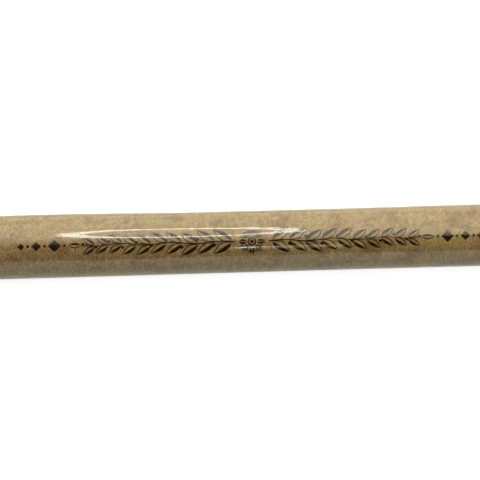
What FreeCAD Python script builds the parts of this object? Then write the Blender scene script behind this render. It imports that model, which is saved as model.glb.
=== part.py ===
"""Paper scroll in a clear sleeve, in millimetres.

A parchment sheet is rolled up with its printed face outside and lies on its side, along X. A shrunk film sleeve holds
the turns together and is turned in over both ends of the roll. The print faces -Y and up. The roll is soft, so it has
a narrow flat along its underside, on which it rests at Z = 0, below the middle of its length.
"""

import FreeCAD, Part
import math
import os

import Sketcher

SIZES = {
    "roll_length": 355.6,  # the sheet's short side, which lies along the roll
    "core_radius": 5.7,  # the hollow inside the innermost turn
    "paper_thickness": 0.2,
    "turn_gap": 0.2,  # air between two turns
    "half_turns": 17,  # half turns from the sheet's inner edge to the top of its outermost turn
    "outer_edge_angle": 10,  # degrees above level, at the back, where the sheet's outer edge lies
    "settle_depth": 0.12,  # how far each turn is flattened underneath
    "film_thickness": 0.12,
    "film_clearance": 0.1,  # between the film and the outermost paper
    "film_bend": 0.4,  # inside radius where the film turns in over an end
    "lip_reach": 3.2,  # width of the turned-in lip, from the outside of the sleeve
}

# Expressions that several features share
HALF_PITCH = "(Sizes.paper_thickness + Sizes.turn_gap) / 2"
INNER_TURN = "Sizes.core_radius + Sizes.paper_thickness"
ROLL_RADIUS = f"({INNER_TURN} + (round(Sizes.half_turns) - 1) * {HALF_PITCH})"
AXIS_HEIGHT = f"(Sizes.film_thickness + {ROLL_RADIUS} - Sizes.settle_depth)"
CAVITY_RADIUS = f"({ROLL_RADIUS} + {HALF_PITCH} + Sizes.film_clearance)"
SLEEVE_RADIUS = f"({CAVITY_RADIUS} + Sizes.film_thickness)"
CAVITY_LENGTH = "(Sizes.roll_length + 2 * Sizes.film_bend)"

# Numbers by which a sketch refers to its own axes and to the points of its curves
HORIZONTAL_AXIS, VERTICAL_AXIS = -1, -2
START, END, CENTRE = 1, 2, 3

NORMAL = FreeCAD.Vector(0, 0, 1)
UP = math.pi / 2
FRONT = math.pi
TOUCH = 1e-6  # two places this close are the same


class Profile:
    """A sketch across the roll, seen from +X: its horizontal axis is Y, with the back at the right, and its other Z."""

    def __init__(self, body, name):
        plane = next(f for f in body.Origin.OriginFeatures if f.Role == "YZ_Plane")
        self.sketch = body.newObject("Sketcher::SketchObject", name)
        self.sketch.AttachmentSupport = (plane, "")
        self.sketch.MapMode = "FlatFace"

    def hold(self, kind, *where):
        self.sketch.addConstraint(Sketcher.Constraint(kind, *where))

    def drive(self, kind, where, value, expression):
        """Adds a dimension whose value follows an expression."""
        index = self.sketch.addConstraint(Sketcher.Constraint(kind, *where, value))
        self.sketch.setExpression(f"Constraints[{index}]", expression)

    def place(self, curve, point, height, expression):
        """Holds a point of a curve at that height."""
        self.drive("DistanceY", (HORIZONTAL_AXIS, START, curve, point), height, expression)

    def centre(self, height, expression):
        """A construction point on the vertical axis."""
        point = self.sketch.addGeometry(Part.Point(FreeCAD.Vector(0, height, 0)), True)
        self.hold("PointOnObject", point, START, VERTICAL_AXIS)
        self.place(point, START, height, expression)
        return point

    def arc(self, centre, radius, expression, start, end):
        """An arc about a centre point, whose radius follows an expression."""
        circle = Part.Circle(self.sketch.getPoint(centre, START), NORMAL, radius)
        arc = self.sketch.addGeometry(Part.ArcOfCircle(circle, start, end))
        self.hold("Coincident", arc, CENTRE, centre, START)
        self.drive("Radius", (arc,), radius, expression)
        return arc

    def circle(self, centre, radius, expression):
        """A circle about a centre point, whose radius follows an expression."""
        round_line = Part.Circle(self.sketch.getPoint(centre, START), NORMAL, radius)
        circle = self.sketch.addGeometry(round_line)
        self.hold("Coincident", circle, CENTRE, centre, START)
        self.drive("Radius", (circle,), radius, expression)

    def line(self, first, first_point, second, second_point):
        """A straight line between points of two curves."""
        ends = [self.sketch.getPoint(first, first_point), self.sketch.getPoint(second, second_point)]
        line = self.sketch.addGeometry(Part.LineSegment(*ends))
        self.hold("Coincident", line, START, first, first_point)
        self.hold("Coincident", line, END, second, second_point)
        return line


def read_sizes(document):
    """Puts the driving sizes in a sheet and returns them as the sheet gives them."""
    sheet = document.addObject("Spreadsheet::Sheet", "Sizes")
    for row, (name, value) in enumerate(SIZES.items(), start=1):
        sheet.set(f"A{row}", name.replace("_", " "))
        sheet.set(f"B{row}", str(value))
        sheet.setAlias(f"B{row}", name)
    document.recompute()
    return {name: float(getattr(sheet, name)) for name in SIZES}


def first_places(sizes):
    """Where the sketches draw their curves before the expressions hold them."""
    half_pitch = (sizes["paper_thickness"] + sizes["turn_gap"]) / 2
    half_turns = round(sizes["half_turns"])
    roll_radius = sizes["core_radius"] + sizes["paper_thickness"] + (half_turns - 1) * half_pitch
    cavity_radius = roll_radius + half_pitch + sizes["film_clearance"]
    return {
        "half_pitch": half_pitch,
        "half_turns": half_turns,
        "roll_radius": roll_radius,
        "axis_height": sizes["film_thickness"] + roll_radius - sizes["settle_depth"],
        "cavity_radius": cavity_radius,
        "sleeve_radius": cavity_radius + sizes["film_thickness"],
    }


def wind_face(profile, front, back, sizes, places, inset, inset_expression):
    """Draws one face of the wound sheet, from its outer edge inwards, and returns its first and its last arc.

    The face is a row of half turns, joined on the axis at the top and by flats underneath. Those at the front are
    centred on the roll's axis and those at the back half a pitch lower, so that each one meets the next in line.
    inset is how far the face lies from the outside of the paper.
    """
    half_pitch, settle = places["half_pitch"], sizes["settle_depth"]
    first = profile.arc(
        back,
        places["roll_radius"] + half_pitch - inset,
        f"{ROLL_RADIUS} + {HALF_PITCH}{inset_expression}",
        math.radians(sizes["outer_edge_angle"]),
        UP,
    )
    profile.hold("PointOnObject", first, END, VERTICAL_AXIS)

    last, at_front = first, True
    for turn in reversed(range(places["half_turns"])):
        radius = sizes["core_radius"] + sizes["paper_thickness"] + turn * half_pitch - inset
        expression = f"{INNER_TURN} + {turn} * {HALF_PITCH}{inset_expression}"
        corner = math.asin((radius - settle) / radius)
        if at_front:
            arc = profile.arc(front, radius, expression, UP, FRONT + corner)
            profile.hold("PointOnObject", arc, START, VERTICAL_AXIS)
            flat_height = places["axis_height"] - radius + settle
            profile.place(arc, END, flat_height, f"{AXIS_HEIGHT} - ({expression}) + Sizes.settle_depth")
        else:
            arc = profile.arc(back, radius, expression, -corner, UP)
            profile.hold("PointOnObject", arc, END, VERTICAL_AXIS)
            flat = profile.line(last, END, arc, START)
            profile.hold("Horizontal", flat)
        last, at_front = arc, not at_front
    return first, last


def make_rolled_sheet(document, sizes, places):
    """The sheet, wound inwards from its outer edge at the back, over the top and down the front."""
    body = document.addObject("PartDesign::Body", "RolledSheet")
    body.Label = "rolled_sheet"
    profile = Profile(body, "WoundSection")
    front = profile.centre(places["axis_height"], AXIS_HEIGHT)
    back = profile.centre(places["axis_height"] - places["half_pitch"], f"{AXIS_HEIGHT} - {HALF_PITCH}")

    paper = sizes["paper_thickness"]
    outside = wind_face(profile, front, back, sizes, places, 0.0, "")
    inside = wind_face(profile, front, back, sizes, places, paper, " - Sizes.paper_thickness")
    outer_edge = profile.line(inside[0], START, outside[0], START)
    profile.hold("PointOnObject", back, START, outer_edge)
    angle = math.radians(sizes["outer_edge_angle"])
    profile.drive("Angle", (outer_edge,), angle, "Sizes.outer_edge_angle")
    profile.line(outside[1], END, inside[1], END)

    roll = body.newObject("PartDesign::Pad", "Roll")
    roll.Profile = profile.sketch
    roll.SideType = "Symmetric"
    roll.setExpression("Length", "Sizes.roll_length")
    body.Tip = roll
    return body


def draw_flattened_circle(profile, places, radius, expression, floor):
    """A circle about the roll's axis, cut off by a flat. Returns the flat."""
    centre = profile.centre(places["axis_height"], AXIS_HEIGHT)
    corner = math.asin((places["axis_height"] - floor) / radius)
    round_part = profile.arc(centre, radius, expression, -corner, FRONT + corner)
    flat = profile.line(round_part, END, round_part, START)
    profile.hold("Horizontal", flat)
    return flat


def rim_edges(shape, half_length):
    """Names of the edges that lie across the roll at half that length from its middle, at both ends."""
    found = []
    for number, edge in enumerate(shape.Edges, start=1):
        box = edge.BoundBox
        lies_across = box.XLength < TOUCH
        at_end = abs(abs(box.XMin) - half_length) < TOUCH
        if lies_across and at_end:
            found.append(f"Edge{number}")
    return found


def cut_through(body, name, profile, length_expression=None):
    """A cut both ways from the middle of the roll, of that length or right through."""
    cut = body.newObject("PartDesign::Pocket", name)
    cut.Profile = profile.sketch
    cut.SideType = "Symmetric"
    if length_expression:
        cut.setExpression("Length", length_expression)
    else:
        cut.Type = "ThroughAll"
    body.Document.recompute()
    return cut


def bend(body, name, base, half_length, radius_expression):
    """Rounds the rims at both ends of the sleeve, where the film turns in."""
    rounding = body.newObject("PartDesign::Fillet", name)
    rounding.Base = (base, rim_edges(base.Shape, half_length))
    rounding.setExpression("Radius", radius_expression)
    body.Document.recompute()
    return rounding


def make_sleeve(document, sizes, places):
    """The film round the roll, with a flat underneath and a lip turned in over each end."""
    body = document.addObject("PartDesign::Body", "ClearSleeve")
    body.Label = "clear_sleeve"
    film = sizes["film_thickness"]
    cavity_half = sizes["roll_length"] / 2 + sizes["film_bend"]

    outline = Profile(body, "SleeveOutline")
    underside = draw_flattened_circle(outline, places, places["sleeve_radius"], SLEEVE_RADIUS, 0.0)
    outline.hold("PointOnObject", underside, START, HORIZONTAL_AXIS)
    blank = body.newObject("PartDesign::Pad", "Blank")
    blank.Profile = outline.sketch
    blank.SideType = "Symmetric"
    blank.setExpression("Length", f"{CAVITY_LENGTH} + 2 * Sizes.film_thickness")

    hollow = Profile(body, "CavityOutline")
    inner_floor = draw_flattened_circle(hollow, places, places["cavity_radius"], CAVITY_RADIUS, film)
    hollow.place(inner_floor, START, film, "Sizes.film_thickness")
    cavity = cut_through(body, "Cavity", hollow, CAVITY_LENGTH)
    inner_bend = bend(body, "InnerBend", cavity, cavity_half, "Sizes.film_bend")
    bend(body, "OuterBend", inner_bend, cavity_half + film, "Sizes.film_bend + Sizes.film_thickness")

    mouth = Profile(body, "MouthOutline")
    axis = mouth.centre(places["axis_height"], AXIS_HEIGHT)
    mouth.circle(axis, places["sleeve_radius"] - sizes["lip_reach"], f"{SLEEVE_RADIUS} - Sizes.lip_reach")
    body.Tip = cut_through(body, "Mouths", mouth)
    return body


def check(document, parts):
    """Stops if a feature failed or a part isn't one sound solid."""
    for item in document.Objects:
        if "Invalid" in item.State or "Error" in item.State:
            raise RuntimeError(f"{item.Name} failed: {item.State}")
    for part in parts:
        shape = part.Shape
        if shape.isNull() or not shape.isValid() or len(shape.Solids) != 1:
            raise RuntimeError(f"{part.Label} is not one sound solid")


def main():
    document = FreeCAD.newDocument("paper_scroll")
    sizes = read_sizes(document)
    places = first_places(sizes)
    parts = [make_rolled_sheet(document, sizes, places), make_sleeve(document, sizes, places)]
    document.recompute()
    check(document, parts)
    os.makedirs("parts", exist_ok=True)
    for part in parts:
        part.Shape.exportStep(f"parts/{part.Label}.step")
        box = part.Shape.optimalBoundingBox()
        print(f"{part.Label}: {part.Shape.Volume:.1f} mm3, {box.XLength:.2f} x {box.YLength:.2f} x {box.ZLength:.2f} mm")
    sheet_volume = parts[0].Shape.Volume
    unrolled = sheet_volume / sizes["roll_length"] / sizes["paper_thickness"]
    print(f"the sheet is {unrolled:.1f} mm long when it is unrolled")


main()
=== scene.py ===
import math

import bmesh
import bpy
import numpy as np
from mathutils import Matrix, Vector


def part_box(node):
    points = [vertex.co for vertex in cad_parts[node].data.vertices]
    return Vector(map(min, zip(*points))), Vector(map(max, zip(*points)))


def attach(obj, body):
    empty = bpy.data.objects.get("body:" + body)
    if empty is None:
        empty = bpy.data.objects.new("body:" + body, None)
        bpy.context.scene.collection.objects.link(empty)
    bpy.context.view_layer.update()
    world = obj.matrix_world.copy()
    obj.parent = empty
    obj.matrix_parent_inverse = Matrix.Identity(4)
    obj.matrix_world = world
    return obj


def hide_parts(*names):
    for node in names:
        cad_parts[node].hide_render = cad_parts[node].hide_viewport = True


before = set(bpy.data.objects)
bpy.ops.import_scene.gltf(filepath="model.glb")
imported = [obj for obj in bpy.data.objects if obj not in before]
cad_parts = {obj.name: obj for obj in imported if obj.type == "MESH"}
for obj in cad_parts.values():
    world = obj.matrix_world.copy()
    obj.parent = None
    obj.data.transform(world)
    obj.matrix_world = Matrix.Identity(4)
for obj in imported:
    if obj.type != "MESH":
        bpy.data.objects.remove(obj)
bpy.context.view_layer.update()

mm = 0.001
fullTurn = 2 * math.pi
sheetLow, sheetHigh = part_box("rolled_sheet")
sleeveLow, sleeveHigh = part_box("clear_sleeve")
axisHeight = sheetHigh.z + sheetLow.y  # the roll's front is as far from its axis as its top
rollLength = sheetHigh.x - sheetLow.x
print("frame loaded: roll", round(rollLength, 4), "m long, axis at", round(axisHeight, 4), "m")

# Shape of the roll. Angles go from level at the back (0) over the top (90) and down the front (180),
# and on inwards turn by turn.
roll = {
    "radius": 9.45 * mm,  # outside of the paper, level at the front
    "paper": 0.2 * mm,
    "pitch": 0.4 * mm,  # from one turn to the next
    "outerEdge": math.radians(10),
    "turns": 8.72,
    "settle": 0.13 * mm,  # how far each turn is flattened underneath
    "leftFlare": (0.032, -12 * mm, -62 * mm),  # how much thicker it gets, and between which places
    "rightFlare": (0.012, 20 * mm, 80 * mm),
    "swell": 0.022 * mm,  # slow unevenness of the wound sheet
    "slack": 0.22 * mm,  # how much looser the innermost turns lie
    "uneven": 0.045 * mm,
    "edgeDrift": 0.22 * mm,  # how far the turns' ends wander along the roll
}


def ease(value, start, end):
    share = np.clip((np.asarray(value, float) - start) / (end - start), 0, 1)
    return share * share * (3 - 2 * share)


def larger(first, second, blend):
    # the larger of two heights, with the corner between them rounded over that blend
    return (first + second + np.sqrt((first - second) ** 2 + blend**2)) / 2


def flare(x):
    size = 1
    for share, start, end in (roll["leftFlare"], roll["rightFlare"]):
        size = size + share * ease(x, start, end)
    return size


def swell(x, angle):
    # gentle hollows and crowns in the wound sheet, none where it lies on its flat
    wave = (
        np.sin(2 * angle + 31 * x + 0.4)
        + 0.7 * np.sin(3 * angle - 58 * x + 2.1)
        + 0.25 * np.sin(5 * angle + 97 * x + 4.0)
    )
    clear = ease(np.sin(angle), -0.95, -0.55)
    return roll["swell"] * wave * clear


def onRoll(x, angle, radius):
    # the place of a point given along the roll, round it and out from its axis
    out = radius + swell(x, angle)
    y = out * np.cos(angle)
    z = axisHeight + out * np.sin(angle)
    z = larger(z, axisHeight - radius + roll["settle"], 0.03 * mm)
    size = flare(x)
    return np.stack([x + 0 * y, y * size, z * size], axis=-1)


def paperRadius(angle):
    # outside of the paper along its whole wound length
    inward = angle - roll["outerEdge"] - roll["turns"] * fullTurn
    loosening = roll["slack"] * ease(inward, -1.6 * fullTurn, 0)
    unevenness = roll["uneven"] * np.sin(1.37 * angle + 0.6) * ease(angle, 1.05 * fullTurn, 1.5 * fullTurn)
    return roll["radius"] + roll["pitch"] * (math.pi - angle) / fullTurn - loosening + unevenness


def gridFaces(rows, columns, start=0, wrap=False):
    # quads between neighbours in a grid of vertices that is numbered row by row
    row = np.arange(rows - 1)[:, None] * columns
    column = np.arange(columns if wrap else columns - 1)[None, :]
    following = (column + 1) % columns
    corners = [row + column, row + following, row + columns + following, row + columns + column]
    return (np.stack(corners, axis=-1) + start).reshape(-1, 4)


def slab(outer, inner, wrap=False):
    # vertices and faces of a closed skin between two grids of points, open edges walled up
    rows, columns = outer.shape[:2]
    count = rows * columns
    number = np.arange(count).reshape(rows, columns)
    faces = [gridFaces(rows, columns, 0, wrap), gridFaces(rows, columns, count, wrap)[:, ::-1]]
    edges = [number[0], number[-1]] if wrap else [number[0], number[-1], number[:, 0], number[:, -1]]
    for edge in edges:
        ahead = np.roll(edge, -1) if wrap else edge[1:]
        here = edge if wrap else edge[:-1]
        faces.append(np.stack([here, ahead, ahead + count, here + count], axis=-1))
    points = np.concatenate([outer.reshape(-1, 3), inner.reshape(-1, 3)])
    return points, np.concatenate(faces)


def addPiece(name, points, faces, material, sharpAngle):
    mesh = bpy.data.meshes.new(name)
    mesh.from_pydata(points.tolist(), [], faces.tolist())
    work = bmesh.new()
    work.from_mesh(mesh)
    bmesh.ops.remove_doubles(work, verts=work.verts, dist=0.0005 * mm)
    bmesh.ops.dissolve_degenerate(work, edges=work.edges, dist=0.0005 * mm)
    bmesh.ops.recalc_face_normals(work, faces=work.faces)
    work.to_mesh(mesh)
    work.free()
    mesh.materials.append(material)
    mesh.shade_smooth()
    mesh.set_sharp_from_angle(angle=math.radians(sharpAngle))
    piece = bpy.data.objects.new(name, mesh)
    bpy.context.scene.collection.objects.link(piece)
    print(name, "has", len(mesh.polygons), "faces")
    return piece


# Shader building
def addNode(tree, kind, **settings):
    node = tree.nodes.new("ShaderNode" + kind)
    for name, value in settings.items():
        setattr(node, name, value)
    return node


def feed(tree, node, **inputs):
    # sets a node's inputs by name, from a value or another node's output
    for name, value in inputs.items():
        socket = node.inputs[name.replace("_", " ")]
        if isinstance(value, bpy.types.NodeSocket):
            tree.links.new(value, socket)
        else:
            socket.default_value = value
    return node


def compute(tree, operation, first, second=0.5, clamp=False):
    node = addNode(tree, "Math", operation=operation, use_clamp=clamp)
    for socket, value in zip(node.inputs, (first, second)):
        if isinstance(value, bpy.types.NodeSocket):
            tree.links.new(value, socket)
        else:
            socket.default_value = value
    return node.outputs[0]


def blendColours(tree, share, first, second, how="MIX"):
    node = addNode(tree, "Mix", data_type="RGBA", blend_type=how)
    for socket, value in ((node.inputs[0], share), (node.inputs[6], first), (node.inputs[7], second)):
        if isinstance(value, bpy.types.NodeSocket):
            tree.links.new(value, socket)
        else:
            socket.default_value = value
    return node.outputs[2]


def spread(tree, value, fromLow, fromHigh, toLow=0.0, toHigh=1.0):
    node = addNode(tree, "MapRange", interpolation_type="SMOOTHSTEP")
    feed(tree, node, Value=value, From_Min=fromLow, From_Max=fromHigh, To_Min=toLow, To_Max=toHigh)
    return node.outputs[0]


def mirroredRays(tree):
    # 1 for what the film mirrors: rays from its outer face, and rays from its inner face on their way out
    path = addNode(tree, "LightPath").outputs
    return compute(tree, "ADD", path["Is Glossy Ray"], path["Is Transmission Ray"], clamp=True)


def newMaterial(name):
    material = bpy.data.materials.new(name)
    material.use_nodes = True
    tree = material.node_tree
    tree.nodes.clear()
    output = addNode(tree, "OutputMaterial")
    return material, tree, output


def rgba(red, green, blue):
    return (red, green, blue, 1.0)


def makeMottle():
    # clouds, stains, blotches, grain and fibres of aged paper, by the place on the unrolled sheet in metres
    group = bpy.data.node_groups.new("agedPaper", "ShaderNodeTree")
    sockets = group.interface
    sockets.new_socket("Place", in_out="INPUT", socket_type="NodeSocketVector")
    sizes = {"Cloud Size": 9 * mm, "Stain Size": 4.5 * mm, "Blotch Size": 1.7 * mm, "Grain Size": 0.55 * mm}
    for name, value in sizes.items():
        sockets.new_socket(name, in_out="INPUT", socket_type="NodeSocketFloat").default_value = value
    source = group.nodes.new("NodeGroupInput")

    def layer(sizeName, stretch, detail, roughness, distortion=0.0):
        scale = compute(group, "DIVIDE", 1.0, source.outputs[sizeName])
        mapped = feed(group, addNode(group, "Mapping"), Vector=source.outputs["Place"], Scale=stretch)
        noise = feed(group, addNode(group, "TexNoise"), Vector=mapped.outputs[0], Scale=scale)
        feed(group, noise, Detail=detail, Roughness=roughness, Distortion=distortion)
        return noise.outputs["Fac"]

    layers = {
        "Clouds": layer("Cloud Size", (1, 1, 1), 3.0, 0.55, 0.4),
        "Stains": layer("Stain Size", (1, 0.8, 1), 3.0, 0.6, 0.8),
        "Blotches": layer("Blotch Size", (1.1, 0.8, 1), 3.0, 0.62, 0.5),
        "Grain": layer("Grain Size", (1.1, 0.75, 1), 2.0, 0.6),
        "Fibre": layer("Blotch Size", (3.4, 0.65, 1), 3.0, 0.65, 0.5),
    }
    rough = compute(group, "MULTIPLY", layers["Blotches"], 0.5)
    layers["Relief"] = compute(group, "ADD", rough, compute(group, "MULTIPLY", layers["Grain"], 0.5))
    for name in layers:
        sockets.new_socket(name, in_out="OUTPUT", socket_type="NodeSocketFloat")
    target = group.nodes.new("NodeGroupOutput")
    for name, value in layers.items():
        group.links.new(value, target.inputs[name])
    return group


agedPaper = makeMottle()


def placeMottle(tree, place, **sizes):
    node = tree.nodes.new("ShaderNodeGroup")
    node.node_tree = agedPaper
    feed(tree, node, Place=place, **sizes)
    return node.outputs


def sheetPlace(tree):
    # every vertex of the paper and the print knows its place on the unrolled sheet
    return addNode(tree, "Attribute", attribute_name="sheetPlace").outputs["Vector"]


# Parchment
parchmentLook = {
    "tan": rgba(0.330, 0.224, 0.098),
    "pale": rgba(0.480, 0.324, 0.171),
    "straw": rgba(0.440, 0.340, 0.145),
    "rosy": rgba(0.465, 0.262, 0.150),
    "brown": rgba(0.255, 0.155, 0.066),
    "darkFibre": rgba(0.89, 0.885, 0.87),
    "lightFibre": rgba(1.11, 1.115, 1.13),
    "darkGrain": rgba(0.78, 0.77, 0.74),
    "lightGrain": rgba(1.22, 1.23, 1.26),
    # the noise that brings in a shade, the values where it sets in and is full, and its share there
    "shades": (
        ("pale", "Blotches", 0.4, 0.6, 1.0),
        ("straw", "Clouds", 0.5, 0.66, 0.85),
        ("rosy", "Stains", 0.5, 0.68, 0.85),
        ("brown", "Clouds", 0.5, 0.3, 0.75),
    ),
    "speckSpan": (0.36, 0.64),
    "specular": 0.08,
    "roughness": 0.85,
    "relief": 0.02 * mm,
}


def makeParchment():
    material, tree, output = newMaterial("mottledParchment")
    look = parchmentLook
    mottle = placeMottle(tree, sheetPlace(tree))
    colour = look["tan"]
    for shade, noise, start, end, most in look["shades"]:
        share = spread(tree, mottle[noise], start, end, 0.0, most)
        colour = blendColours(tree, share, colour, look[shade])
    for name in ("Fibre", "Grain"):
        share = spread(tree, mottle[name], *look["speckSpan"])
        speck = blendColours(tree, share, look["dark" + name], look["light" + name])
        colour = blendColours(tree, 1.0, colour, speck, "MULTIPLY")
    bump = feed(tree, addNode(tree, "Bump"), Height=mottle["Relief"], Distance=look["relief"])
    shader = addNode(tree, "BsdfPrincipled")
    feed(tree, shader, Base_Color=colour, Normal=bump.outputs[0], Specular_IOR_Level=look["specular"])
    feed(tree, shader, Roughness=spread(tree, mottle["Blotches"], 0.3, 0.7, look["roughness"], 1.0))
    tree.links.new(shader.outputs[0], output.inputs["Surface"])
    return material


# Brown ink
inkLook = {
    "deep": rgba(0.019, 0.007, 0.001),
    "worn": rgba(0.060, 0.030, 0.010),
    "wornFrom": 0.58,
    "wornTo": 0.8,
    "grain": 0.22 * mm,
    "specular": 0.05,
    "roughness": 0.7,
    "relief": 0.01 * mm,
}


def makeInk():
    material, tree, output = newMaterial("brownInk")
    look = inkLook
    mottle = placeMottle(tree, sheetPlace(tree), Grain_Size=look["grain"])
    share = spread(tree, mottle["Grain"], look["wornFrom"], look["wornTo"])
    colour = blendColours(tree, share, look["deep"], look["worn"])
    bump = feed(tree, addNode(tree, "Bump"), Height=mottle["Relief"], Distance=look["relief"])
    shader = addNode(tree, "BsdfPrincipled")
    feed(tree, shader, Base_Color=colour, Normal=bump.outputs[0], Specular_IOR_Level=look["specular"])
    feed(tree, shader, Roughness=spread(tree, mottle["Blotches"], 0.3, 0.7, look["roughness"], 1.0))
    tree.links.new(shader.outputs[0], output.inputs["Surface"])
    return material


# Clear film
filmLook = {
    "tint": rgba(0.985, 0.98, 0.965),
    "roughness": 0.07,
    "ior": 1.38,
    "wobbleSize": 11 * mm,
    "wobble": 0.007 * mm,
    "peelSize": 2.4 * mm,  # fine ripple where the film didn't shrink tight
    "peel": 0.04 * mm,
    "peelFrom": -7 * mm,
    "peelTo": 2 * mm,
    "peelEnd": 16 * mm,
    "peelTail": 8 * mm,
}


def makeFilm():
    material, tree, output = newMaterial("clearFilm")
    look = filmLook
    place = addNode(tree, "TexCoord").outputs["Object"]
    wobble = addNode(tree, "TexNoise")
    feed(tree, wobble, Vector=place, Scale=1 / look["wobbleSize"], Detail=1.0)
    peel = addNode(tree, "TexNoise")
    feed(tree, peel, Vector=place, Scale=1 / look["peelSize"], Detail=2.0)
    along = feed(tree, addNode(tree, "SeparateXYZ"), Vector=place).outputs["X"]
    rise = spread(tree, along, look["peelFrom"], look["peelTo"])
    fall = spread(tree, along, look["peelEnd"] + look["peelTail"], look["peelEnd"])
    loose = compute(tree, "MULTIPLY", rise, fall)
    ripple = compute(tree, "MULTIPLY", peel.outputs["Fac"], look["peel"])
    ripple = compute(tree, "MULTIPLY", ripple, loose)
    waves = compute(tree, "MULTIPLY", wobble.outputs["Fac"], look["wobble"])
    height = compute(tree, "ADD", ripple, waves)
    bump = addNode(tree, "Bump")
    feed(tree, bump, Height=height, Distance=1.0, Strength=1.0)
    shader = addNode(tree, "BsdfPrincipled")
    feed(tree, shader, Base_Color=look["tint"], Roughness=look["roughness"], IOR=look["ior"])
    feed(tree, shader, Transmission_Weight=1.0, Normal=bump.outputs[0])
    clear = feed(tree, addNode(tree, "BsdfTransparent"), Color=look["tint"])
    surface = shader.outputs[0]
    # light on its way to the paper passes straight through
    for rays in ("Is Diffuse Ray", "Is Shadow Ray"):
        passing = addNode(tree, "MixShader")
        tree.links.new(addNode(tree, "LightPath").outputs[rays], passing.inputs[0])
        tree.links.new(surface, passing.inputs[1])
        tree.links.new(clear.outputs[0], passing.inputs[2])
        surface = passing.outputs[0]
    tree.links.new(surface, output.inputs["Surface"])
    return material


parchment = makeParchment()
brownInk = makeInk()
clearFilm = makeFilm()
print("materials made")


# The wound sheet
sheetMesh = {
    "stepsPerTurn": 64,
    "stations": 58,
    "crowding": (0.55, 0.45),  # weights of stations crowded towards the ends and of even ones
}


def markPlaces(piece, places):
    # keeps each vertex's place on the unrolled sheet for the materials
    attribute = piece.data.attributes.new("sheetPlace", "FLOAT_VECTOR", "POINT")
    attribute.data.foreach_set("vector", np.asarray(places, np.float32).ravel())


def woundLength(angle):
    # about how far along the sheet, from its outer edge, that angle is reached
    first = roll["outerEdge"]
    middleRadius = paperRadius((angle + first) / 2)
    return middleRadius * (angle - first)


def makeSheet():
    steps = round(roll["turns"] * sheetMesh["stepsPerTurn"])
    angle = roll["outerEdge"] + np.linspace(0, roll["turns"] * fullTurn, steps + 1)
    crowded = -np.cos(np.linspace(0, math.pi, sheetMesh["stations"]))
    even = np.linspace(-1, 1, sheetMesh["stations"])
    share = sheetMesh["crowding"][0] * crowded + sheetMesh["crowding"][1] * even
    drift = angle / angle[-1] - 0.5
    drift = roll["edgeDrift"] * (drift + 0.3 * np.sin(0.9 * angle) + 0.15 * np.sin(3.7 * angle))
    x = share[:, None] * (rollLength / 2) + drift[None, :]
    turned = angle[None, :] + 0 * x
    outside = paperRadius(turned)
    outer = onRoll(x, turned, outside)
    inner = onRoll(x, turned, outside - roll["paper"])
    points, faces = slab(outer, inner)
    sheet = addPiece("woundParchment", points, faces, parchment, 50)
    places = np.stack([x, woundLength(turned), 0 * x], axis=-1).reshape(-1, 3)
    places = np.concatenate([places, places + (0, 0, roll["paper"])])
    markPlaces(sheet, places)
    return sheet


sheet = makeSheet()
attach(sheet, "root")
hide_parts("rolled_sheet")


# Printed garland: a rosette with a laurel spray to each side and small lozenges beyond
garland = {
    "middle": math.radians(127),  # angle of its centre line on the roll
    "rosette": 4.1 * mm,
    "petals": 8,
    "sprayStart": 5.2 * mm,
    "sprayEnd": 51.5 * mm,
    "leaf": 6.6 * mm,
    "leafWidth": 1.35 * mm,  # from the vein to one edge
    "leafAngle": math.radians(40),
    "leafStep": 5.2 * mm,
    "smallestLeaf": 0.62,  # size of the last leaves, as a share of the first
    "bow": 0.12,  # how far a leaf bends, as a share of its length
    "endLeaf": 0.6,  # size of the leaf at the tip of a spray
    "sway": 0.3 * mm,
    "vein": 0.2 * mm,
    "rim": 0.32 * mm,  # line round the open half of each leaf
    "stem": 0.2 * mm,
    "stalk": 0.08 * mm,
    "berry": 0.6 * mm,
    "lozenges": ((3.9 * mm, 3.6 * mm), (3.0 * mm, 2.8 * mm), (2.2 * mm, 2.0 * mm)),
    "dot": 0.4 * mm,
    "gap": 1.0 * mm,
    "lift": 0.012 * mm,  # how far the ink stands above and reaches into the paper
}


def turnedBy(points, angle, origin=(0, 0)):
    spin = np.array([[math.cos(angle), math.sin(angle)], [-math.sin(angle), math.cos(angle)]])
    return np.asarray(points) @ spin + origin


def between(first, second, across=3):
    # a grid of points that fills the strip between two edges
    share = np.linspace(0, 1, across)[None, :, None]
    return first[:, None] * (1 - share) + second[:, None] * share


def disc(centre, radius, steps=13):
    angle = np.linspace(0, math.pi, steps)
    upper = np.stack([np.cos(angle), np.sin(angle)], axis=-1) * radius + centre
    lower = np.stack([np.cos(angle), -np.sin(angle)], axis=-1) * radius + centre
    return [between(upper, lower, 4)]


def circle(centre, radius, width, steps=49):
    angle = np.linspace(0, fullTurn, steps)
    rim = np.stack([np.cos(angle), np.sin(angle)], axis=-1)
    return [between(rim * (radius + width / 2) + centre, rim * (radius - width / 2) + centre, 2)]


def lozenge(centre, length, height):
    along = np.linspace(-1, 1, 11)
    half = np.stack([along * length / 2, (1 - abs(along)) * height / 2], axis=-1)
    return [between(half + centre, half * (1, -1) + centre, 5)]


def leafHalf(origin, angle, length, width, side, bow, rim):
    # one half of a pointed leaf, filled from its edge as far in as the rim is wide
    along = np.linspace(0, 1, 17)
    belly = width * abs(np.sin(math.pi * along**0.85)) ** 0.85
    inner = np.maximum(np.minimum(garland["vein"] / 2, belly), belly - rim)
    middle = bow * length * np.sin(math.pi * along / 2)
    innerEdge = np.stack([along * length, middle + side * inner], axis=-1)
    outerEdge = np.stack([along * length, middle + side * belly], axis=-1)
    return turnedBy(between(innerEdge, outerEdge, 4), angle, origin)


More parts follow.
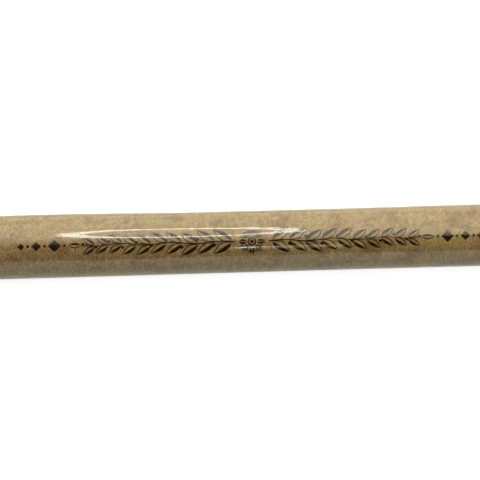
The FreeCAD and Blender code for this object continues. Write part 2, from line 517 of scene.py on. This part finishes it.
def leaf(origin, angle, length, width, bow=0.0, shaded=1, rim=garland["rim"]):
    # solid on its shaded side and open on the other
    return [
        leafHalf(origin, angle, length, width, shaded, bow, width),
        leafHalf(origin, angle, length, width, -shaded, bow, rim),
    ]


def stroke(points, halfWidths):
    # a line of changing width along points
    heading = np.gradient(points, axis=0)
    side = np.stack([-heading[:, 1], heading[:, 0]], axis=-1)
    side /= np.linalg.norm(side, axis=1)[:, None]
    return [between(points + side * halfWidths[:, None], points - side * halfWidths[:, None], 2)]


rosette = {  # sizes as shares of its radius
    "eye": 0.14,
    "ring": 0.27,
    "ringWidth": 0.11,
    "petalStart": 0.37,
    "petal": 0.63,
    "petalWidth": 0.2,
    "dotPlace": 0.8,
    "dot": 0.07,
}


def drawRosette():
    size, petals = garland["rosette"], garland["petals"]
    shapes = disc((0, 0), rosette["eye"] * size)
    shapes += circle((0, 0), rosette["ring"] * size, rosette["ringWidth"] * size)
    length, width = rosette["petal"] * size, rosette["petalWidth"] * size
    for number in range(petals):
        angle = number * fullTurn / petals
        start = turnedBy((rosette["petalStart"] * size, 0), angle)
        shapes += leaf(start, angle, length, width, rim=width)
        dot = turnedBy((rosette["dotPlace"] * size, 0), angle + fullTurn / petals / 2)
        shapes += disc(dot, rosette["dot"] * size)
    return shapes


def drawSpray():
    # the spray to the right; the one to the left mirrors it
    start, end, step = garland["sprayStart"], garland["sprayEnd"], garland["leafStep"]
    along = np.linspace(0, 1, 90)
    sway = garland["sway"] * np.sin(along * 6 * math.pi)
    stem = np.stack([start + along * (end - start), sway], axis=-1)
    shapes = stroke(stem, garland["stem"] * (1 - 0.5 * along))
    x, number = start + 0.2 * step, 0
    while x < end - 0.6 * step:
        size = 1 - (1 - garland["smallestLeaf"]) * (x - start) / (end - start)
        y = float(np.interp(x, stem[:, 0], stem[:, 1]))
        length, width = garland["leaf"] * size, garland["leafWidth"] * size
        for side in (-1, 1):
            root = (x, y + side * garland["stem"])
            shapes += leaf(root, side * garland["leafAngle"], length, width, -garland["bow"] * side, side)
        side = 1 if number % 2 else -1
        berryAt = np.array([x + 1.02 * step * size, y + side * 1.0 * mm * size])
        stalkRoot = np.array([x + 0.45 * step * size, y])
        reach = np.linspace(0, 1, 6)[:, None]
        shapes += stroke(stalkRoot * (1 - reach) + berryAt * reach, np.full(6, garland["stalk"]))
        shapes += disc(berryAt, garland["berry"] * size)
        x, number = x + step * size**0.7, number + 1
    length, width = garland["endLeaf"] * garland["leaf"], garland["endLeaf"] * garland["leafWidth"]
    return shapes + leaf((end, float(sway[-1])), 0, length, width)


def drawTail():
    # lozenges and dots that grow smaller towards the end of the line
    place = garland["sprayEnd"] + garland["endLeaf"] * garland["leaf"] + garland["gap"]
    shapes = []
    for length, height in garland["lozenges"]:
        shapes += disc((place, 0), garland["dot"])
        shapes += lozenge((place + garland["gap"] + length / 2, 0), length, height)
        place += length + 2 * garland["gap"]
    return shapes


def printOnRoll(name, shapes):
    # lays flat shapes on the outermost turn, as thin as ink
    allPoints, allFaces, allPlaces, count = [], [], [], 0
    for shape in shapes:
        x = shape[..., 0]
        angle = garland["middle"] - shape[..., 1] / roll["radius"]
        surface = paperRadius(angle)
        top = onRoll(x, angle, surface + garland["lift"])
        bottom = onRoll(x, angle, surface - garland["lift"])
        points, faces = slab(top, bottom)
        place = np.stack([x, woundLength(angle), 0 * x], axis=-1).reshape(-1, 3)
        allPoints.append(points)
        allFaces.append(faces + count)
        allPlaces.append(np.concatenate([place, place]))
        count += len(points)
    points = np.concatenate(allPoints)
    piece = addPiece(name, points, np.concatenate(allFaces), brownInk, 60)
    kept = np.empty(len(piece.data.vertices) * 3)
    piece.data.vertices.foreach_get("co", kept)
    kept = kept.reshape(-1, 3)
    angles = np.arctan2(kept[:, 2] / flare(kept[:, 0]) - axisHeight, kept[:, 1] / flare(kept[:, 0]))
    markPlaces(piece, np.stack([kept[:, 0], woundLength(angles), 0 * angles], axis=-1))
    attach(piece, "root")


rightHalf = drawSpray() + drawTail()
leftHalf = [shape * (-1, 1) for shape in rightHalf]
printOnRoll("printedGarland", drawRosette() + rightHalf + leftHalf)
print("print made")


# The sleeve
sleeve = {
    "wall": 0.05 * mm,
    "bead": 0.2 * mm,  # the film is that much thicker along its mouth, where it shrank most
    "air": 0.03 * mm,  # between the film and the paper
    "bend": 0.45 * mm,
    "mouth": 6.35 * mm,  # radius of the opening at each end
    "mouthWander": 0.22 * mm,
    "dome": 0.35 * mm,  # how far the turned-in lip stands out
    "puckers": 23,
    "puckerDepth": 0.4 * mm,
    "angleSteps": 120,
    "stationGap": 2.6 * mm,
    "foldAngle": math.radians(139),  # the tube was folded flat along two lines before it was shrunk
    "foldHeight": 0.18 * mm,
    "foldWidth": 0.4 * mm,  # to each side
    "frontFold": (-10 * mm, -4 * mm, 24 * mm, 33 * mm),  # where the crease rises, is full, and fades
    "backFold": (-120 * mm, -70 * mm, 40 * mm, 95 * mm),
    # small flats where the film pulls tight: place along the roll, half length, angle, width
    "flats": (
        (1.0 * mm, 2.2 * mm, math.radians(103.2), 0.9 * mm),
        (6.4 * mm, 1.6 * mm, math.radians(104.5), 1.1 * mm),
        (12.2 * mm, 2.6 * mm, math.radians(108.2), 1.5 * mm),
        (-56.5 * mm, 2.4 * mm, math.radians(107.5), 1.3 * mm),
    ),
    "flatZone": (-9 * mm, 31 * mm, 0.7 * mm),  # closer rings of vertices there
    "flatAngles": (math.radians(92), math.radians(116), math.radians(0.85)),
    "bridgeFoot": math.radians(16),  # about how far from the outer edge the film meets the turn below
}


def hullRadius(angle):
    # the tight skin over the outermost turn, which bridges the step at the sheet's outer edge
    edge = roll["outerEdge"]
    edgeRadius = paperRadius(edge)
    turned = np.mod(angle - edge, fullTurn) + edge
    plain = paperRadius(turned)
    footRadius = paperRadius(edge + fullTurn - sleeve["bridgeFoot"])
    reach = math.acos(footRadius / edgeRadius)
    foot = edge + fullTurn - reach
    bridge = footRadius / np.cos(np.clip(turned - foot, 0, reach))
    return np.where(turned > foot, np.maximum(plain, bridge), plain)


def foldRise(x, angle):
    rise = 0
    for opposite, span in ((0, sleeve["frontFold"]), (math.pi, sleeve["backFold"])):
        away = abs(angle - sleeve["foldAngle"] - opposite) * roll["radius"] / sleeve["foldWidth"]
        ridge = np.clip(1.04 - np.sqrt(away**2 + 0.0016), 0, 1)
        rise = rise + ridge * ease(x, span[0], span[1]) * (1 - ease(x, span[2], span[3]))
    return sleeve["foldHeight"] * rise


def flatDrop(x, angle, radius):
    # how far the film lies below its round where it is pulled flat
    drop = 0 * angle
    for place, halfLength, middle, width in sleeve["flats"]:
        reach = width / 2 / radius * np.clip(1 - ((x - place) / halfLength) ** 2, 0, 1)
        away = np.minimum(abs(angle - middle), reach)
        drop = drop + radius * (1 - np.cos(reach) / np.cos(away)) * (abs(angle - middle) < reach)
    return drop


def skinNormals(grid):
    # normals of a grid whose columns go once round
    alongRows = np.gradient(grid, axis=0)
    around = np.roll(grid, -1, axis=1) - np.roll(grid, 1, axis=1)
    normal = np.cross(around, alongRows)
    normal /= np.linalg.norm(normal, axis=-1)[..., None]
    return normal


def makeSleeve():
    half = (sleeveHigh.x - sleeveLow.x) / 2 - sleeve["bend"] - sleeve["wall"]
    plainDepth = roll["radius"] - sleeve["mouth"]
    angle = np.arange(sleeve["angleSteps"]) * fullTurn / sleeve["angleSteps"]
    fine = np.arange(-6, 7) * sleeve["foldWidth"] / 5 / roll["radius"]
    closer = [np.arange(*sleeve["flatAngles"])]
    closer += [sleeve["foldAngle"] + fine, sleeve["foldAngle"] + math.pi + fine]
    for patch in closer:
        margin = patch[1] - patch[0]
        angle = angle[(angle < patch[0] - margin) | (angle > patch[-1] + margin)]
        angle = np.sort(np.concatenate([angle, patch]))

    body = np.linspace(-half, half, round(2 * half / sleeve["stationGap"]))
    body = body[(body < sleeve["flatZone"][0]) | (body > sleeve["flatZone"][1])]
    body = np.sort(np.concatenate([body, np.arange(*sleeve["flatZone"])]))
    corner = np.radians([22.5, 45, 67.5, 90])
    lip = np.linspace(0, 1, 12)[1:]
    cornerOut, cornerIn = sleeve["bend"] * np.sin(corner), sleeve["bend"] * (1 - np.cos(corner))
    endX = np.concatenate([cornerOut, np.full(len(lip), sleeve["bend"])])
    lipStart = sleeve["bend"] / plainDepth
    endInset = np.concatenate([cornerIn / plainDepth, lipStart + lip * (1 - lipStart)])
    endLip = np.concatenate([0 * corner, lip])
    x = np.concatenate([-half - endX[::-1], body, half + endX])
    inset = np.concatenate([endInset[::-1], 0 * body, endInset])
    lipShare = np.concatenate([endLip[::-1], 0 * body, endLip])
    side = np.sign(x)

    along, around = np.meshgrid(x, angle, indexing="ij")
    inset, lipShare, side = inset[:, None], lipShare[:, None], side[:, None]
    bodyRadius = hullRadius(around) + sleeve["air"] + sleeve["wall"]
    bodyRadius = bodyRadius + foldRise(along, around) - flatDrop(along, around, bodyRadius)
    wander = np.sin(3 * around + side) + 0.6 * np.sin(7 * around + 2.5 * side) + 0.4 * np.sin(13 * around)
    mouth = sleeve["mouth"] + sleeve["mouthWander"] * wander / 2
    radius = bodyRadius * (1 - inset) + mouth * inset
    count = sleeve["puckers"]
    folds = np.sin(count * around + 1.3 * np.sin(3 * around + side))
    folds = folds + 0.45 * np.sin((2 * count + 3) * around + side)
    standOut = sleeve["dome"] * np.sin(lipShare * math.pi / 2)
    standOut = standOut + sleeve["puckerDepth"] * lipShare**1.4 * (folds + 1) / 2
    outer = onRoll(along + side * standOut, around, radius)
    thickness = sleeve["wall"] + sleeve["bead"] * lipShare**10
    inward = -skinNormals(outer)
    # the first column lies at the back, where inwards is towards -Y
    if inward[len(x) // 2, 0, 1] > 0:
        inward = -inward
    inner = outer + inward * thickness[..., None]
    points, faces = slab(outer, inner, wrap=True)
    return addPiece("shrunkSleeve", points, faces, clearFilm, 60)


film = makeSleeve()
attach(film, "root")
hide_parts("clear_sleeve")


# Camera
shot = {
    "elevation": math.radians(52),
    "turn": math.radians(1.96),  # it stands a little to the left
    "distance": 0.3,
    "frameWidth": 0.1498,  # how much of the roll's length the picture holds
    "across": -3.4 * mm,  # the place along the roll in the middle of the picture
    "above": 0.66 * mm,  # how far above the axis it aims
    "sensorWidth": 36,
    "clipStart": 0.01,
}


def addCamera():
    data = bpy.data.cameras.new("camera")
    camera = bpy.data.objects.new("camera", data)
    bpy.context.scene.collection.objects.link(camera)
    data.sensor_width = shot["sensorWidth"]
    data.lens = data.sensor_width * shot["distance"] / shot["frameWidth"]
    data.clip_start = shot["clipStart"]
    flat = math.cos(shot["elevation"])
    side, front = -math.sin(shot["turn"]) * flat, -math.cos(shot["turn"]) * flat
    back = Vector((side, front, math.sin(shot["elevation"])))
    camera.rotation_mode = "QUATERNION"
    camera.rotation_quaternion = (-back).to_track_quat("-Z", "Y")
    up = camera.rotation_quaternion @ Vector((0, 1, 0))
    aim = Vector((shot["across"], 0, axisHeight)) + up * shot["above"]
    camera.location = aim + back * shot["distance"]
    bpy.context.scene.camera = camera


addCamera()


# Floor, light and what the film mirrors
studio = {
    "floorSeen": rgba(0.4, 0.4, 0.4),
    "floorSeenGlow": (0.93, 1.05),  # round the roll and further away
    "floorNear": (0.25, 0.5),  # metres over which one goes over into the other
    "floorMirrored": rgba(0.75, 0.75, 0.75),
    "floorMirroredGlow": (0.63, 0.22),  # in front of the roll and behind it
    "floorMirroredSpan": (-60 * mm, 60 * mm),  # where along Y one goes over into the other
    "floorBounce": rgba(0.29, 0.28, 0.265),
    "floorReach": 3.0,
    "floorLevel": -0.05 * mm,  # just under the roll
    "airDim": 0.06,
    "airMirrored": (0.45, 1.6),  # to the sides and the front, and behind
    "airSpan": (0.2, 0.85),  # Y of the directions over which one goes over into the other
    "warm": rgba(1.0, 0.975, 0.775),  # colour of the lamps and of what the film mirrors
    "panelHeight": 600 * mm,  # a soft panel overhead lights the roll and gives the film its broad sheen
    "panelHalfWidth": 270 * mm,
    "panelFront": math.radians(51),  # how high its front edge stands above the horizon, seen from the roll
    "panelFull": math.radians(78),  # where it has grown to its full strength, above the roll's middle
    "panelSkew": 0.75,  # how much further forward that is to the right
    "panelRear": math.radians(20),
    "panelGlow": 2.9,
    "panelRearGlow": 1.9,
    "cardDistance": 500 * mm,  # the dark side of the room, up to the panel's front edge
    "cardHalfWidth": 2.0,
    "cardGlow": 0.02,
    "cardGlowOnPaper": 0.12,
    "ringColour": rgba(1.0, 0.985, 0.90),
    "ringGlow": 17.0,
    "ringGlowOnPaper": 0.7,
    "ringRadius": 58.2 * mm,  # to its outside
    "ringWidth": (14.5 * mm, 11.5 * mm),  # at its left and its right
    "ringHeight": 190 * mm,
    "ringPlace": (-27.5 * mm, 0.0),
    "endLampBeyond": 120 * mm,  # how far from the end of the roll
    "endLampHeights": (50 * mm, 150 * mm),  # of its lower and its upper edge
    "endLampHalfWidth": 70 * mm,
    "endLampGlow": 0.45,
    "endLampGlowOnPaper": 1.5,
}


def addStage(name, points, faces, material, camera=True):
    mesh = bpy.data.meshes.new(name)
    mesh.from_pydata(points, [], faces)
    mesh.materials.append(material)
    item = bpy.data.objects.new(name, mesh)
    bpy.context.scene.collection.objects.link(item)
    item.visible_camera = camera
    return item


def glowing(name, image, plain, colour=studio["warm"]):
    # gives off light, in one strength where the film mirrors it and in a plain one for what it lights
    material, tree, output = newMaterial(name)
    strength = compute(tree, "MULTIPLY", mirroredRays(tree), image - plain)
    strength = compute(tree, "ADD", strength, plain)
    glow = feed(tree, addNode(tree, "Emission"), Color=colour, Strength=strength)
    tree.links.new(glow.outputs[0], output.inputs["Surface"])
    return material


def addFloor():
    # one shade for the camera, one for what the film mirrors, and one for the light thrown up at the roll
    material, tree, output = newMaterial("paleFloor")
    straight = addNode(tree, "LightPath").outputs["Is Camera Ray"]
    mirrored = mirroredRays(tree)
    colour = blendColours(tree, mirrored, studio["floorBounce"], studio["floorMirrored"])
    colour = blendColours(tree, straight, colour, studio["floorSeen"])
    place = addNode(tree, "TexCoord").outputs["Object"]
    along = feed(tree, addNode(tree, "SeparateXYZ"), Vector=place).outputs["Y"]
    away = feed(tree, addNode(tree, "VectorMath", operation="LENGTH"), Vector=place).outputs["Value"]
    mirroredGlow = spread(tree, along, *studio["floorMirroredSpan"], *studio["floorMirroredGlow"])
    seenGlow = spread(tree, away, *studio["floorNear"], *studio["floorSeenGlow"])
    strength = compute(tree, "MULTIPLY", mirrored, mirroredGlow)
    strength = compute(tree, "ADD", strength, compute(tree, "MULTIPLY", straight, seenGlow))
    diffuse = feed(tree, addNode(tree, "BsdfDiffuse"), Color=colour)
    shade = blendColours(tree, straight, studio["warm"], rgba(1, 1, 1))
    glow = feed(tree, addNode(tree, "Emission"), Color=shade, Strength=strength)
    both = addNode(tree, "AddShader")
    tree.links.new(diffuse.outputs[0], both.inputs[0])
    tree.links.new(glow.outputs[0], both.inputs[1])
    tree.links.new(both.outputs[0], output.inputs["Surface"])
    reach, level = studio["floorReach"], studio["floorLevel"]
    corners = [(x * reach, y * reach, level) for x, y in ((-1, -1), (1, -1), (1, 1), (-1, 1))]
    addStage("floor", corners, [(0, 1, 2, 3)], material)


def addAir():
    world = bpy.data.worlds.new("studioAir")
    bpy.context.scene.world = world
    world.use_nodes = True
    tree = world.node_tree
    tree.nodes.clear()
    straight = addNode(tree, "LightPath").outputs["Is Camera Ray"]
    direction = addNode(tree, "TexCoord").outputs["Generated"]
    backwards = feed(tree, addNode(tree, "SeparateXYZ"), Vector=direction).outputs["Y"]
    side, rear = (value - studio["airDim"] for value in studio["airMirrored"])
    image = spread(tree, backwards, *studio["airSpan"], side, rear)
    strength = compute(tree, "MULTIPLY", mirroredRays(tree), image)
    strength = compute(tree, "ADD", strength, compute(tree, "MULTIPLY", straight, 1 - studio["airDim"]))
    strength = compute(tree, "ADD", strength, studio["airDim"])
    shade = blendColours(tree, straight, studio["warm"], rgba(1, 1, 1))
    background = feed(tree, addNode(tree, "Background"), Color=shade, Strength=strength)
    output = addNode(tree, "OutputWorld")
    tree.links.new(background.outputs[0], output.inputs["Surface"])


def addPanel():
    height, half = studio["panelHeight"] + axisHeight, studio["panelHalfWidth"]
    front = -studio["panelHeight"] / math.tan(studio["panelFront"])
    rear = studio["panelHeight"] / math.tan(studio["panelRear"])
    material, tree, output = newMaterial("panelGlow")
    place = feed(tree, addNode(tree, "SeparateXYZ"), Vector=addNode(tree, "TexCoord").outputs["Object"])
    full = -studio["panelHeight"] / math.tan(studio["panelFull"])
    full = compute(tree, "ADD", compute(tree, "MULTIPLY", place.outputs["X"], -studio["panelSkew"]), full)
    growing = spread(tree, place.outputs["Y"], front, full)
    fading = spread(tree, place.outputs["Y"], 0.0, rear, studio["panelGlow"], studio["panelRearGlow"])
    strength = compute(tree, "MULTIPLY", growing, fading)
    glow = feed(tree, addNode(tree, "Emission"), Color=studio["warm"], Strength=strength)
    tree.links.new(glow.outputs[0], output.inputs["Surface"])
    corners = [(-half, front, height), (-half, rear, height), (half, rear, height), (half, front, height)]
    addStage("softPanel", corners, [(0, 1, 2, 3)], material, camera=False)


def addDarkCard():
    away, half = studio["cardDistance"], studio["cardHalfWidth"]
    top = away * math.tan(studio["panelFront"])
    corners = [(-half, -away, 0), (half, -away, 0), (half, -away, top), (-half, -away, top)]
    shade = glowing("cardShade", studio["cardGlow"], studio["cardGlowOnPaper"])
    addStage("darkCard", corners, [(0, 1, 2, 3)], shade, camera=False)


def addRingLamp():
    steps = 96
    angle = np.arange(steps) * fullTurn / steps
    rim = np.stack([np.cos(angle), np.sin(angle), 0 * angle], axis=-1)
    outer = studio["ringRadius"]
    left, right = studio["ringWidth"]
    points = np.concatenate([rim * outer, rim * (outer - (left + right) / 2) + ((left - right) / 2, 0, 0)])
    light = glowing("ringGlow", studio["ringGlow"], studio["ringGlowOnPaper"], studio["ringColour"])
    lamp = addStage("ringLamp", points.tolist(), gridFaces(2, steps, 0, True).tolist(), light, camera=False)
    lamp.location = (*studio["ringPlace"], axisHeight + studio["ringHeight"])


def addEndLamps():
    # one beyond each end of the roll, for its end face and the folds of the film there
    beyond, half = studio["endLampBeyond"], studio["endLampHalfWidth"]
    low, high = studio["endLampHeights"]
    light = glowing("endGlow", studio["endLampGlow"], studio["endLampGlowOnPaper"])
    for name, x in (("leftEndLamp", sleeveLow.x - beyond), ("rightEndLamp", sleeveHigh.x + beyond)):
        corners = [(x, -half, low), (x, half, low), (x, half, high), (x, -half, high)]
        addStage(name, corners, [(0, 1, 2, 3)], light, camera=False)


addFloor()
addAir()
addPanel()
addDarkCard()
addRingLamp()
addEndLamps()
print("studio made")

scene = bpy.context.scene
scene.view_settings.view_transform = "Standard"
